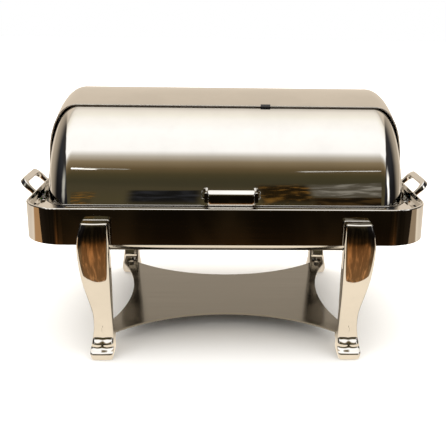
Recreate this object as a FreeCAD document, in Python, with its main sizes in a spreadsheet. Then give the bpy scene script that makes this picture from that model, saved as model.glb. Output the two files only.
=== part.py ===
"""Roll top chafer for one full-size food pan, as an assembly of separate pieces.

Frame: +X to the right, +Y to the back, +Z up. Origin: on the table, midway between the four feet.
Lengths are in millimetres, angles in degrees.
"""
import FreeCAD, Part
import math
import os
import Sketcher
from FreeCAD import Placement, Rotation, Vector

os.makedirs("parts", exist_ok=True)
doc = FreeCAD.newDocument("RollTopChafer")
X_AXIS, Y_AXIS, Z_AXIS = Vector(1, 0, 0), Vector(0, 1, 0), Vector(0, 0, 1)

# ---------------------------------------------------------------------------
# Driving dimensions
# ---------------------------------------------------------------------------
DIMENSIONS = {
    # the deep skirt that carries everything
    "band_length": 640, "band_depth": 450, "band_corner": 67, "band_top": 253, "band_bottom": 195,
    "band_sheet": 1.5, "rim_width": 2.2, "rim_round": 2, "lip_drop": 6, "lip_sheet": 1.2,
    "hem_width": 9,
    # the deck inside the skirt, which the water pan hangs in
    "deck_top": 240, "deck_sheet": 2, "opening_length": 524, "opening_depth": 316,
    "opening_corner": 54, "slot_inner": 290, "slot_outer": 314.5, "slot_length": 286, "slot_corner": 8,
    "ledge_top": 249, "ledge_end": 290, "ledge_gap": 1, "ledge_sheet": 1.2, "ledge_clear": 2,
    # the two shells of the roll top, both turned about the pivot axis
    "pivot_height": 217.3, "cover_sheet": 1.2, "hem_angle": 80.4, "flat_radius": 30,
    "shoulder_radius": 121, "apex_radius": 8,
    "rear_radius": 197, "rear_half": 311, "rear_shoulder": 63, "rear_edge_angle": 26.2,
    "front_radius": 194.6, "front_half": 304.5, "front_shoulder": 59.5, "front_edge_angle": 12,
    "shoulder_fullness": 37.5,
    # what holds the rear shell's hem, and the pad on its front edge
    "hem_screw_x": 150, "hem_screw_height": 258, "hem_screw_start": 186.5, "hem_head_radius": 4.2,
    "rear_bracket_foot": 177, "rear_bracket_web": 189.9, "rear_bracket_top": 264,
    "rear_bracket_sheet": 1.6, "rear_bracket_width": 30,
    "edge_pad_left": 56, "edge_pad_width": 16, "edge_pad_lift": 0.5, "edge_pad_lead": 0.6,
    "edge_pad_wrap": 1.9,
    # the rubber stops under the front shell's hem
    "stop_x": 170, "stop_y": 187, "stop_radius": 5, "stop_height": 8.2,
    # the pivots
    "pin_radius": 5, "pin_fit": 0.06, "pin_inner": 296.5, "hub_radius": 24, "hub_sheet": 3.4,
    "spacer_radius": 10, "spacer_gap": 0.35, "retainer_radius": 9, "retainer_length": 3,
    "bracket_half": 15, "bracket_height": 34, "bracket_gap": 0.3, "bracket_round": 6,
    # the pans
    "water_length": 516, "water_depth": 308, "water_corner": 52, "water_bottom": 157.5,
    "water_sheet": 1.2, "water_fillet": 24, "water_flange_length": 550, "water_flange_depth": 350,
    "flange_corner": 56, "food_length": 505, "food_depth": 300, "food_corner": 46,
    "food_flange_length": 530, "food_flange_depth": 325, "food_flange_corner": 28,
    "food_drop": 62, "food_sheet": 1, "food_fillet": 16,
    # the handle on the moving shell
    "grip_length": 74, "grip_height": 23, "grip_thickness": 9, "grip_middle": 270.3,
    "grip_front": 226, "grip_offset": 6, "grip_corner": 5, "grip_round": 2.2, "post_width": 9,
    "post_height": 19, "post_round": 3, "shoe_width": 18, "shoe_depth": 4, "grip_screw_rise": 5.5,
    "grip_screw_length": 13, "grip_head_radius": 3.5, "grip_head_depth": 2.2,
    # the carrying handles
    "bail_width": 103, "bail_reach": 52, "bail_section": 9, "bail_height": 219, "bail_tilt": 44,
    "bail_corner": 17, "bail_round": 2.4, "rosette_width": 24, "rosette_height": 28,
    "rosette_depth": 5, "rosette_corner": 7, "rosette_spacing": 94, "handle_bore": 9,
    # the fixings
    "bolt_radius": 3, "bolt_fit": 0.05, "bolt_clearance": 0.3, "head_radius": 5.5, "head_depth": 4,
    "screw_radius": 2, "screw_clearance": 0.2,
    "leg_bolt_low": 206, "leg_bolt_high": 223, "leg_bolt_depth": 12,
    "plate_width": 38, "plate_low": 199, "plate_high": 230, "plate_sheet": 3, "plate_corner": 4,
    # the burner shelf
    "shelf_top": 28.5, "shelf_sheet": 3, "shelf_bolt_x": 198, "shelf_bolt_y": 170,
    "shelf_bolt_bore": 9, "shelf_tip_x": 210, "shelf_tip_y": 182, "shelf_side_end": 168,
    "shelf_front_end": 190, "shelf_side_middle": 176, "shelf_front_middle": 100,
    "lug_width": 26, "lug_low": 15, "lug_reach": 158, "lug_back": 200,
    # the legs and what is under them
    "leg_face": 225.1, "pad_radius": 11, "pad_sheet": 2, "foot_x": 201, "foot_y": 207,
}

sheet = doc.addObject("Spreadsheet::Sheet", "Sizes")
for row, (alias, number) in enumerate(DIMENSIONS.items(), start=1):
    sheet.set(f"A{row}", alias)
    sheet.set(f"B{row}", str(number))
    sheet.setAlias(f"B{row}", alias)
doc.recompute()


class Size:
    """A length from the sheet, or a sum of them, that keeps its expression beside its value."""

    def __init__(self, text, value):
        self.text = text
        self.value = value

    def joined(self, other, sign, value):
        other_text = other.text if isinstance(other, Size) else str(other)
        return Size(f"({self.text} {sign} {other_text})", value)

    def __add__(self, other):
        return self.joined(other, "+", self.value + number_of(other))

    def __sub__(self, other):
        return self.joined(other, "-", self.value - number_of(other))

    def __mul__(self, other):
        return self.joined(other, "*", self.value * number_of(other))

    def __truediv__(self, other):
        return self.joined(other, "/", self.value / number_of(other))

    def __neg__(self):
        return self * -1


def number_of(size):
    return size.value if isinstance(size, Size) else size


def dim(alias):
    return Size(f"Sizes.{alias}", float(sheet.get(alias)))


def mm(alias):
    """The plain number behind an alias, for the shapes that Part's functions make."""
    return dim(alias).value


def bind(item, prop, size):
    if isinstance(size, Size):
        item.setExpression(prop, size.text)
        return
    item.setExpression(prop, str(size))


# ---------------------------------------------------------------------------
# PartDesign helpers
# ---------------------------------------------------------------------------
made = []


def new_body(label):
    body = doc.addObject("PartDesign::Body", label)
    body.Label = label
    made.append(body)
    return body


def origin_plane(body, role):
    return next(item for item in body.Origin.OriginFeatures if item.Role == role)


def new_sketch(body, role, offset=0):
    """A sketch on one of the body's own origin planes, moved along that plane's normal."""
    sketch = body.newObject("Sketcher::SketchObject", f"{body.Label}_sketch")
    sketch.AttachmentSupport = [(origin_plane(body, role), "")]
    sketch.MapMode = "FlatFace"
    bind(sketch, "AttachmentOffset.Base.z", offset)
    return sketch


def fix(sketch, kind, *geometry, size):
    index = sketch.addConstraint(Sketcher.Constraint(kind, *geometry, number_of(size)))
    if isinstance(size, Size):
        sketch.setExpression(f"Constraints[{index}]", size.text)


def add_circle(sketch, x, y, radius):
    centre = Vector(number_of(x), number_of(y), 0)
    circle = sketch.addGeometry(Part.Circle(centre, Z_AXIS, number_of(radius)), False)
    fix(sketch, "DistanceX", -1, 1, circle, 3, size=x)
    fix(sketch, "DistanceY", -1, 1, circle, 3, size=y)
    fix(sketch, "Radius", circle, size=radius)


def add_rounded_rectangle(sketch, width, height, corner, x=0, y=0):
    """A rectangle with round corners and its middle at x, y."""
    x_mid, y_mid = number_of(x), number_of(y)
    half_x, half_y, radius = number_of(width) / 2, number_of(height) / 2, number_of(corner)
    centres = [(1, -1), (1, 1), (-1, 1), (-1, -1)]
    lines, arcs = [], []
    for side, (sign_x, sign_y) in enumerate(centres):
        start_sign = centres[side - 1]
        along_x = side % 2 == 0
        if along_x:
            ends = [(start_sign[0] * (half_x - radius), sign_y * half_y),
                    (sign_x * (half_x - radius), sign_y * half_y)]
        else:
            ends = [(sign_x * half_x, start_sign[1] * (half_y - radius)),
                    (sign_x * half_x, sign_y * (half_y - radius))]
        points = [Vector(x_mid + px, y_mid + py, 0) for px, py in ends]
        lines.append(sketch.addGeometry(Part.LineSegment(*points), False))
        centre = Vector(x_mid + sign_x * (half_x - radius), y_mid + sign_y * (half_y - radius), 0)
        first = -math.pi / 2 + side * math.pi / 2
        arc = Part.ArcOfCircle(Part.Circle(centre, Z_AXIS, radius), first, first + math.pi / 2)
        arcs.append(sketch.addGeometry(arc, False))
    for side in range(4):
        sketch.addConstraint(Sketcher.Constraint("Tangent", lines[side], 2, arcs[side], 1))
        sketch.addConstraint(Sketcher.Constraint("Tangent", arcs[side], 2, lines[(side + 1) % 4], 1))
        kind = "Horizontal" if side % 2 == 0 else "Vertical"
        sketch.addConstraint(Sketcher.Constraint(kind, lines[side]))
        if side:
            sketch.addConstraint(Sketcher.Constraint("Equal", arcs[0], arcs[side]))
    fix(sketch, "Radius", arcs[0], size=corner)
    half_width = width / 2
    half_height = height / 2
    fix(sketch, "DistanceX", -1, 1, lines[1], 1, size=half_width + x)
    fix(sketch, "DistanceX", lines[3], 1, -1, 1, size=half_width - x)
    fix(sketch, "DistanceY", -1, 1, lines[2], 1, size=half_height + y)
    fix(sketch, "DistanceY", lines[0], 1, -1, 1, size=half_height - y)


def volume_of(body):
    doc.recompute()
    return body.Shape.Volume if not body.Shape.isNull() else 0


def pad(body, sketch, length, middle=False, backwards=False):
    before = volume_of(body)
    feature = body.newObject("PartDesign::Pad", f"{body.Label}_pad")
    feature.Profile = sketch
    feature.Midplane = middle
    feature.Reversed = backwards
    bind(feature, "Length", length)
    assert volume_of(body) > before, f"{body.Label}: a pad adds nothing"
    return feature


def pocket(body, sketch, length, backwards=False, middle=False):
    before = volume_of(body)
    feature = body.newObject("PartDesign::Pocket", f"{body.Label}_pocket")
    feature.Profile = sketch
    feature.Midplane = middle
    feature.Reversed = backwards
    bind(feature, "Length", length)
    assert volume_of(body) < before, f"{body.Label}: a pocket cuts nothing"
    return feature


def edges_where(body, test):
    doc.recompute()
    names = []
    for index, edge in enumerate(body.Tip.Shape.Edges, start=1):
        if test(edge):
            names.append(f"Edge{index}")
    assert names, f"{body.Label}: no edge to round"
    return names


def fillet(body, radius, test):
    names = edges_where(body, test)
    base = body.Tip
    feature = body.newObject("PartDesign::Fillet", f"{body.Label}_fillet")
    feature.Base = (base, names)
    bind(feature, "Radius", radius)
    doc.recompute()
    assert "Invalid" not in feature.State, f"{body.Label}: a fillet fails"
    return feature


def level_at(height):
    """A test for the edges that lie flat at one height."""
    def test(edge):
        box = edge.BoundBox
        return abs(box.ZMin - height) < 0.01 and abs(box.ZMax - height) < 0.01
    return test


def new_feature(label, shape):
    item = doc.addObject("Part::Feature", label)
    item.Label = label
    item.Shape = shape
    item.Placement = Placement()
    made.append(item)
    return item


# ---------------------------------------------------------------------------
# Skirt and deck
# ---------------------------------------------------------------------------
band_inside_length = dim("band_length") - dim("band_sheet") * 2
band_inside_depth = dim("band_depth") - dim("band_sheet") * 2
band_inside_corner = dim("band_corner") - dim("band_sheet")
rim_inside_length = dim("band_length") - dim("rim_width") * 2
rim_inside_depth = dim("band_depth") - dim("rim_width") * 2
rim_inside_corner = dim("band_corner") - dim("rim_width")
SIDES = {"left": -1, "right": 1}
ENDS = {"front": -1, "rear": 1}
CORNERS = [(end, side) for end in ENDS for side in SIDES]


def leg_bolt_places():
    return [(sign * mm("foot_x"), mm(level)) for sign in (-1, 1)
            for level in ("leg_bolt_low", "leg_bolt_high")]


def make_band():
    """Deep skirt with its top edge rolled over to a lip inside it, and a hem turned in below."""
    body = new_body("frame_band")
    height = dim("band_top") - dim("band_bottom")
    outside = new_sketch(body, "XY_Plane", dim("band_bottom"))
    add_rounded_rectangle(outside, dim("band_length"), dim("band_depth"), dim("band_corner"))
    pad(body, outside, height)
    hollow = new_sketch(body, "XY_Plane", dim("band_top") - dim("band_sheet"))
    add_rounded_rectangle(hollow, band_inside_length, band_inside_depth, band_inside_corner)
    pocket(body, hollow, height - dim("band_sheet") * 2)
    rim = new_sketch(body, "XY_Plane", dim("band_top"))
    add_rounded_rectangle(rim, rim_inside_length, rim_inside_depth, rim_inside_corner)
    pocket(body, rim, dim("band_sheet") * 2)
    below = new_sketch(body, "XY_Plane", dim("band_bottom") + dim("band_sheet") * 2)
    add_rounded_rectangle(below, dim("band_length") - dim("hem_width") * 2,
                          dim("band_depth") - dim("hem_width") * 2,
                          dim("band_corner") - dim("hem_width"))
    pocket(body, below, dim("band_sheet") * 3)
    lip = new_sketch(body, "XY_Plane", dim("band_top"))
    add_rounded_rectangle(lip, rim_inside_length, rim_inside_depth, rim_inside_corner)
    add_rounded_rectangle(lip, rim_inside_length - dim("lip_sheet") * 2,
                          rim_inside_depth - dim("lip_sheet") * 2,
                          rim_inside_corner - dim("lip_sheet"))
    pad(body, lip, dim("lip_drop"), backwards=True)
    leg_holes = new_sketch(body, "XZ_Plane")
    for x, z in leg_bolt_places():
        add_circle(leg_holes, x, z, dim("bolt_radius") + dim("bolt_clearance"))
    pocket(body, leg_holes, dim("band_depth") * 2, middle=True)
    handle_holes = new_sketch(body, "YZ_Plane")
    for sign in (-1, 1):
        add_circle(handle_holes, dim("rosette_spacing") / 2 * sign, dim("bail_height"),
                   dim("bolt_radius") + dim("bolt_clearance"))
    add_circle(handle_holes, 0, dim("pivot_height"), dim("pin_radius") + dim("bolt_clearance"))
    pocket(body, handle_holes, dim("band_length") * 2, middle=True)
    at_top = level_at(mm("band_top"))

    def outermost(edge):
        box = edge.BoundBox
        return at_top(edge) and (max(box.YMax, -box.YMin) > mm("band_depth") / 2 - 0.1
                                 or max(box.XMax, -box.XMin) > mm("band_length") / 2 - 0.1)

    fillet(body, dim("rim_round"), outermost)


def make_deck():
    """Flat deck inside the skirt: the pan opening, and a slot at each end for the covers."""
    body = new_body("pan_deck")
    plate = new_sketch(body, "XY_Plane", dim("deck_top"))
    add_rounded_rectangle(plate, band_inside_length, band_inside_depth, band_inside_corner)
    pad(body, plate, dim("deck_sheet"), backwards=True)
    opening = new_sketch(body, "XY_Plane", dim("deck_top"))
    add_rounded_rectangle(opening, dim("opening_length"), dim("opening_depth"),
                          dim("opening_corner"))
    for sign in SIDES.values():
        middle = (dim("slot_outer") + dim("slot_inner")) / 2 * sign
        add_rounded_rectangle(opening, dim("slot_outer") - dim("slot_inner"), dim("slot_length"),
                              dim("slot_corner"), x=middle)
    pocket(body, opening, dim("deck_sheet") * 2)


def cover_clearance(extra):
    """The full turn of the rear cover's outline, grown a little, as a tool for cutting."""
    face = cover_face("rear", extra)
    return face.revolve(Vector(0, 0, mm("pivot_height")), X_AXIS, 360)


def ledge_block(inset, top):
    """The ledge's outline inside the skirt, from the deck up; its ends are cut straight."""
    gap = mm("lip_sheet") + mm("ledge_gap") + inset
    block = rounded_block(rim_inside_length.value - 2 * gap, rim_inside_depth.value - 2 * gap,
                          rim_inside_corner.value - gap, mm("deck_top"), top)
    end = mm("ledge_end") - inset
    return block.common(Part.makeBox(2 * end, mm("band_depth"), mm("band_top"),
                                     Vector(-end, -mm("band_depth") / 2, 0)))


def make_ledges():
    """Ledge between rim and covers, turned down at its outer edge, in a front and a rear length."""
    sheet_depth = mm("ledge_sheet")
    shell = ledge_block(0, mm("ledge_top")).cut(ledge_block(sheet_depth, mm("ledge_top") - sheet_depth))
    shell = shell.cut(cover_clearance(mm("ledge_clear")))
    start = mm("slot_length") / 2 + 4
    for end, sign in ENDS.items():
        corner = start if sign > 0 else -start - mm("band_depth")
        keep = Part.makeBox(mm("band_length"), mm("band_depth"), mm("band_top"),
                            Vector(-mm("band_length") / 2, corner, 0))
        new_feature(f"{end}_ledge", shell.common(keep).removeSplitter())


def rounded_block(length, depth, corner, low, high):
    """A block with round upright edges, its middle on the Z axis."""
    block = Part.makeBox(length, depth, high - low, Vector(-length / 2, -depth / 2, low))
    upright = [edge for edge in block.Edges if edge.BoundBox.ZLength > 0.5 * (high - low)]
    return block.makeFillet(corner, upright)


# ---------------------------------------------------------------------------
# Covers: one outline, turned about the pivot axis
# ---------------------------------------------------------------------------
def outline_edges(radius, half, shoulder, apex):
    """Outline of one skin above the pivot axis, from the left apex over to the right one."""
    level = mm("pivot_height")

    def place(x, height):
        return Vector(x, 0, level + height)

    edges = []
    for sign in (-1, 1):
        start = place(sign * half, apex)
        flat_end = place(sign * half, mm("flat_radius"))
        curve = Part.BezierCurve()
        curve.setPoles([flat_end, place(sign * half, mm("shoulder_radius")),
                        place(sign * (half - shoulder + mm("shoulder_fullness")), radius),
                        place(sign * (half - shoulder), radius)])
        side = [Part.LineSegment(start, flat_end).toShape(), curve.toShape()]
        edges.append(side)
    left, right = edges
    top = Part.LineSegment(place(shoulder - half, radius), place(half - shoulder, radius)).toShape()
    return left + [top] + right[::-1]


def cover_face(name, grow=0):
    """Section of a cover's sheet; grow more than zero gives the whole outline, that much bigger."""
    radius, half, shoulder = (mm(f"{name}_{word}") for word in ("radius", "half", "shoulder"))
    level = mm("pivot_height")
    if grow:
        edges = outline_edges(radius + grow, half + grow, shoulder, 0)
        base = Part.LineSegment(Vector(-half - grow, 0, level), Vector(half + grow, 0, level))
        return Part.Face(Part.Wire(Part.__sortEdges__(edges + [base.toShape()])))
    thickness, apex = mm("cover_sheet"), mm("apex_radius")
    outer = outline_edges(radius, half, shoulder, apex)
    inner = outline_edges(radius - thickness, half - thickness, shoulder, apex)
    ends = [Part.LineSegment(Vector(sign * half, 0, level + apex),
                             Vector(sign * (half - thickness), 0, level + apex)).toShape()
            for sign in (-1, 1)]
    return Part.Face(Part.Wire(Part.__sortEdges__(outer + inner + ends)))


def turned_cover(name, first, last):
    """The sheet section turned from one angle to another; angles lean back from upright."""
    centre = Vector(0, 0, mm("pivot_height"))
    face = cover_face(name)
    face.rotate(centre, X_AXIS, -first)
    return face.revolve(centre, X_AXIS, first - last)


def rear_screw_places():
    return [Vector(sign * mm("hem_screw_x"), 0, mm("hem_screw_height")) for sign in (-1, 1)]


def make_covers():
    rear = turned_cover("rear", -mm("rear_edge_angle"), mm("hem_angle"))
    hole_radius = mm("screw_radius") + mm("screw_clearance")
    for place in rear_screw_places():
        rear = rear.cut(Part.makeCylinder(hole_radius, mm("band_depth") / 2, place, Y_AXIS))
    new_feature("rear_cover", rear)
    front = turned_cover("front", -mm("hem_angle"), -mm("front_edge_angle"))
    for x, z in grip_screw_places():
        place = Vector(mm("grip_offset") + x, 0, z)
        front = front.cut(Part.makeCylinder(hole_radius, mm("band_depth") / 2, place, -Y_AXIS))
    new_feature("front_cover", front)


def make_rear_brackets():
    """Angle brackets that hold the rear cover's hem to the deck."""
    for (side, sign), place in zip(SIDES.items(), rear_screw_places()):
        body = new_body(f"rear_cover_bracket_{side}")
        profile = new_sketch(body, "YZ_Plane", place.x)
        low, high, sheet_depth = mm("deck_top"), mm("rear_bracket_top"), mm("rear_bracket_sheet")
        foot_start, web = mm("rear_bracket_foot"), mm("rear_bracket_web")
        points = [(foot_start, low), (web, low), (web, high), (web - sheet_depth, high),
                  (web - sheet_depth, low + sheet_depth), (foot_start, low + sheet_depth)]
        add_polygon(profile, points)
        pad(body, profile, dim("rear_bracket_width"), middle=True)
        hole = new_sketch(body, "XZ_Plane")
        add_circle(hole, place.x, place.z, dim("screw_radius") + dim("screw_clearance"))
        pocket(body, hole, dim("band_depth"), middle=True)


def add_polygon(sketch, points):
    corners = [Vector(*point, 0) for point in points]
    first = sketch.GeometryCount
    for start, end in zip(corners, corners[1:] + corners[:1]):
        sketch.addGeometry(Part.LineSegment(start, end), False)
    count = len(corners)
    for index in range(count):
        following = first + (index + 1) % count
        sketch.addConstraint(Sketcher.Constraint("Coincident", first + index, 2, following, 1))
        sketch.addConstraint(Sketcher.Constraint("Block", first + index))


def make_rear_screws():
    """Two dome-head screws through the rear cover's hem into its brackets."""
    screws = []
    for place in rear_screw_places():
        lift = place.z - mm("pivot_height")
        surface = math.sqrt(mm("rear_radius") ** 2 - lift ** 2)
        start, radius = mm("hem_screw_start"), mm("hem_head_radius")
        shank = Part.makeCylinder(mm("screw_radius"), surface + 1 - start,
                                  Vector(place.x, start, place.z), Y_AXIS)
        head = Part.makeSphere(radius, Vector(place.x, surface - 1.2, place.z))
        outside = Part.makeBox(4 * radius, 4 * radius, 4 * radius,
                               Vector(place.x - 2 * radius, surface + 0.95, place.z - 2 * radius))
        screws.append(shank.fuse(head.common(outside)))
    new_feature("rear_cover_screws", Part.makeCompound(screws))


# ---------------------------------------------------------------------------
# Pivots
# ---------------------------------------------------------------------------
def ring(start, length, outer, inner):
    """A washer on the pivot axis, to the right of the middle."""
    centre = Vector(start, 0, mm("pivot_height"))
    disc = Part.makeCylinder(outer, length, centre, X_AXIS)
    if inner == 0:
        return disc
    return disc.cut(Part.makeCylinder(inner, length, centre, X_AXIS))


def mirrored(shape, sign, middle=0):
    """The shape itself, or for a negative sign its mirror image across an upright plane."""
    if sign > 0:
        return shape
    return shape.mirror(Vector(middle, 0, 0), X_AXIS)


def make_pivots():
    """Bracket, pin, spacer, hub and retainer at each end of the pivot axis."""
    wall = band_inside_length.value / 2
    running = mm("pin_radius") + mm("pin_fit")
    snug = mm("pin_radius") + 0.02
    front_skin = mm("front_half") - mm("cover_sheet")
    bracket_start = mm("rear_half") + mm("bracket_gap")
    for side, sign in SIDES.items():
        block = Part.makeBox(wall - bracket_start, 2 * mm("bracket_half"), mm("bracket_height"),
                             Vector(bracket_start, -mm("bracket_half"),
                                    mm("pivot_height") - mm("bracket_height") / 2))
        along = [edge for edge in block.Edges if edge.BoundBox.XLength > 5]
        block = block.makeFillet(mm("bracket_round"), along)
        bore = Part.makeCylinder(snug, wall, Vector(0, 0, mm("pivot_height")), X_AXIS)
        new_feature(f"pivot_bracket_{side}", mirrored(block.cut(bore), sign))
        pin = ring(mm("pin_inner"), wall + 1 - mm("pin_inner"), mm("pin_radius"), 0)
        new_feature(f"pivot_pin_{side}", mirrored(pin, sign))
        spacer_start = mm("front_half") + mm("spacer_gap")
        spacer_end = mm("rear_half") - mm("cover_sheet")
        spacer = ring(spacer_start, spacer_end - spacer_start, mm("spacer_radius"), snug)
        new_feature(f"pivot_spacer_{side}", mirrored(spacer, sign))
        hub = ring(front_skin - mm("hub_sheet"), mm("hub_sheet"), mm("hub_radius"), running)
        new_feature(f"cover_hub_{side}", mirrored(hub, sign))
        retainer_start = front_skin - mm("hub_sheet") - mm("spacer_gap") - mm("retainer_length")
        retainer = ring(retainer_start, mm("retainer_length"), mm("retainer_radius"), snug)
        new_feature(f"pivot_retainer_{side}", mirrored(retainer, sign))


# ---------------------------------------------------------------------------
# Pans
# ---------------------------------------------------------------------------
def make_pan(label, outside, corner, flange, flange_corner, top, bottom, thickness, rounding):
    """A drawn pan: a flat flange at the top and a deep well with a rounded bottom."""
    body = new_body(label)
    well = new_sketch(body, "XY_Plane", bottom)
    add_rounded_rectangle(well, *outside, corner)
    pad(body, well, top - bottom)
    brim = new_sketch(body, "XY_Plane", top)
    add_rounded_rectangle(brim, *flange, flange_corner)
    pad(body, brim, thickness, backwards=True)
    inside = new_sketch(body, "XY_Plane", top)
    add_rounded_rectangle(inside, outside[0] - thickness * 2, outside[1] - thickness * 2,
                          corner - thickness)
    pocket(body, inside, top - bottom - thickness)
    fillet(body, rounding - thickness, level_at(bottom.value + thickness.value))
    fillet(body, rounding, level_at(bottom.value))


def make_pans():
    water_top = dim("deck_top") + dim("water_sheet")
    make_pan("water_pan", (dim("water_length"), dim("water_depth")), dim("water_corner"),
             (dim("water_flange_length"), dim("water_flange_depth")), dim("flange_corner"),
             water_top, dim("water_bottom"), dim("water_sheet"), dim("water_fillet"))
    food_top = water_top + dim("food_sheet")
    make_pan("food_pan", (dim("food_length"), dim("food_depth")), dim("food_corner"),
             (dim("food_flange_length"), dim("food_flange_depth")), dim("food_flange_corner"),
             food_top, food_top - dim("food_drop"), dim("food_sheet"), dim("food_fillet"))


# ---------------------------------------------------------------------------
# Handle on the front cover
# ---------------------------------------------------------------------------
def grip_screw_places():
    """Where the grip's screws are, from the middle of the grip."""
    post, rise = mm("grip_length") / 2 + mm("post_width") / 2, mm("grip_screw_rise")
    return [(sign * post, mm("grip_middle") + lift) for sign in (-1, 1) for lift in (-rise, rise)]


def cover_surface(height):
    """How far forward the front cover's outside is at a height."""
    return -math.sqrt(mm("front_radius") ** 2 - (height - mm("pivot_height")) ** 2)


def make_grip():
    """A flat-faced cast grip between two posts, each standing on a shoe against the cover."""
    grip = new_body("cover_grip")
    section = new_sketch(grip, "XZ_Plane", dim("grip_front"))
    add_rounded_rectangle(section, dim("grip_length"), dim("grip_height"), dim("grip_corner"),
                          x=dim("grip_offset"), y=dim("grip_middle"))
    pad(grip, section, dim("grip_thickness"), backwards=True)
    fillet(grip, dim("grip_round"), lambda edge: edge.BoundBox.YLength < 0.01)
    post = grip_post()
    for side, sign in SIDES.items():
        new_feature(f"grip_post_{side}", mirrored(post, sign, mm("grip_offset")))
    new_feature("grip_screws", Part.makeCompound([grip_screw(x, z) for x, z in grip_screw_places()]))


def grip_post():
    """The right post, hollowed to the cover's curve and bored for its two screws."""
    cover = Part.makeCylinder(mm("front_radius") + 0.05, mm("band_length"),
                              Vector(-mm("band_length") / 2, 0, mm("pivot_height")), X_AXIS)
    low, high = mm("grip_middle") - mm("post_height") / 2, mm("grip_middle") + mm("post_height") / 2
    start, front = mm("grip_offset") + mm("grip_length") / 2, mm("grip_front")
    post = Part.makeBox(mm("post_width"), front / 4, high - low, Vector(start, -front, low))
    along = [edge for edge in post.Edges if edge.BoundBox.YLength > 20]
    post = post.makeFillet(mm("post_round"), along)
    shoe = Part.makeBox(mm("shoe_width"), front / 8, high - low + 2,
                        Vector(start - 2, cover_surface(high) - mm("shoe_depth"), low - 1))
    solid = post.fuse(shoe).cut(cover)
    for x, z in grip_screw_places():
        bore = Part.makeCylinder(mm("screw_radius") + mm("bolt_fit"), 20,
                                 Vector(mm("grip_offset") + x, cover_surface(z) + 6, z), -Y_AXIS)
        solid = solid.cut(bore)
    return solid.removeSplitter()


def grip_screw(x, z):
    """A screw from inside the cover, its flat head clear of the cover's curve."""
    head_radius, depth = mm("grip_head_radius"), mm("grip_head_depth")
    inner_skin = math.sqrt((mm("front_radius") - mm("cover_sheet")) ** 2
                           - (z + head_radius - mm("pivot_height")) ** 2)
    place = Vector(mm("grip_offset") + x, 0.3 - inner_skin, z)
    shank = Part.makeCylinder(mm("screw_radius"), mm("grip_screw_length"), place + Y_AXIS, -Y_AXIS)
    head = Part.makeCylinder(head_radius, depth, place + Y_AXIS * depth, -Y_AXIS)
    return shank.fuse(head)


# ---------------------------------------------------------------------------
# Carrying handles
# ---------------------------------------------------------------------------
def make_side_handles():
    """A square-section bail at each end, rising outwards from two rosettes on the skirt."""
    wall = mm("band_length") / 2
    section, reach, corner = mm("bail_section"), mm("bail_reach"), mm("bail_corner")
    for side, sign in SIDES.items():
        block = Part.makeBox(section, mm("bail_width"), reach,
                             Vector(-section / 2, -mm("bail_width") / 2, 0))
        outer = [edge for edge in block.Edges
                 if edge.BoundBox.XLength > 1 and edge.BoundBox.ZMin > reach - 0.1]
        block = block.makeFillet(corner, outer)
        inside = Part.makeBox(section * 2, mm("bail_width") - 2 * section, reach,
                              Vector(-section, -mm("bail_width") / 2 + section, -section))
        inner = [edge for edge in inside.Edges
                 if edge.BoundBox.XLength > 1 and edge.BoundBox.ZMin > 0]
        inside = inside.makeFillet(corner - section + 2, inner)
        bail = block.cut(inside)
        long_edges = [edge for edge in bail.Edges if edge.BoundBox.XLength < 0.01
                      and not edge.BoundBox.ZMax < 0.01]
        bail = bail.makeFillet(mm("bail_round"), long_edges)
        bail.rotate(Vector(0, 0, 0), Y_AXIS, mm("bail_tilt"))
        bail.translate(Vector(wall, 0, mm("bail_height")))
        outside = Part.makeBox(200, 400, 200, Vector(wall, -200, mm("bail_height") - 100))
        bail = bail.common(outside)
        for end in (-1, 1):
            rosette = Part.makeBox(mm("rosette_depth"), mm("rosette_width"), mm("rosette_height"),
                                   Vector(wall, end * mm("rosette_spacing") / 2 - mm("rosette_width") / 2,
                                          mm("bail_height") - mm("rosette_height") / 2))
            sides = [edge for edge in rosette.Edges if edge.BoundBox.XLength > 1]
            bail = bail.fuse(rosette.makeFillet(mm("rosette_corner"), sides))
            bore = Part.makeCylinder(mm("bolt_radius") + mm("bolt_fit"), mm("handle_bore"),
                                     Vector(wall, end * mm("rosette_spacing") / 2, mm("bail_height")),
                                     X_AXIS)
            bail = bail.cut(bore)
        new_feature(f"{side}_side_handle", mirrored(bail.removeSplitter(), sign))
    screws = []
    for sign in SIDES.values():
        for end in (-1, 1):
            place = Vector(wall - mm("band_sheet"), end * mm("rosette_spacing") / 2, mm("bail_height"))
            shank = Part.makeCylinder(mm("bolt_radius"), mm("handle_bore"), place, X_AXIS)
            head = Part.makeCylinder(mm("head_radius"), mm("head_depth"), place, -X_AXIS)
            screws.append(mirrored(shank.fuse(head), sign))
    new_feature("side_handle_screws", Part.makeCompound(screws))


# ---------------------------------------------------------------------------
# Legs, shelf and feet
# ---------------------------------------------------------------------------
# Edges of a leg from its top to its toe, each as a distance outwards and a height.
LEG_INNER = [(181, 235.5), (180.3, 195), (181.3, 140), (183.5, 80), (184, 52), (183, 20), (184.5, 1)]
LEG_OUTER = [(222, 235.5), (230, 195), (225.5, 140), (214.5, 80), (214.5, 52), (219, 20), (217.5, 1)]
LEG_BACK = [(225.1, 192), (213, 140), (199, 80), (190.5, 50), (188, 22), (190.5, 1)]
LEG_FRONT = [(248, 235.5), (250, 205), (243.2, 140), (224, 80), (216, 46), (230, 12), (228, 1)]
LEG_EDGE = 6


def smooth_edge(points):
    curve = Part.BSplineCurve()
    curve.interpolate(points)
    return curve.toShape()


def closed_face(*sides):
    """A flat face inside sides that are given in order, joined by straight edges."""
    edges = [smooth_edge(side) if len(side) > 2 else Part.LineSegment(*side).toShape()
             for side in sides]
    for side, following in zip(sides, sides[1:] + sides[:1]):
        if side[-1].distanceToPoint(following[0]) > 0.001:
            edges.append(Part.LineSegment(side[-1], following[0]).toShape())
    return Part.Face(Part.Wire(Part.__sortEdges__(edges)))


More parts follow.
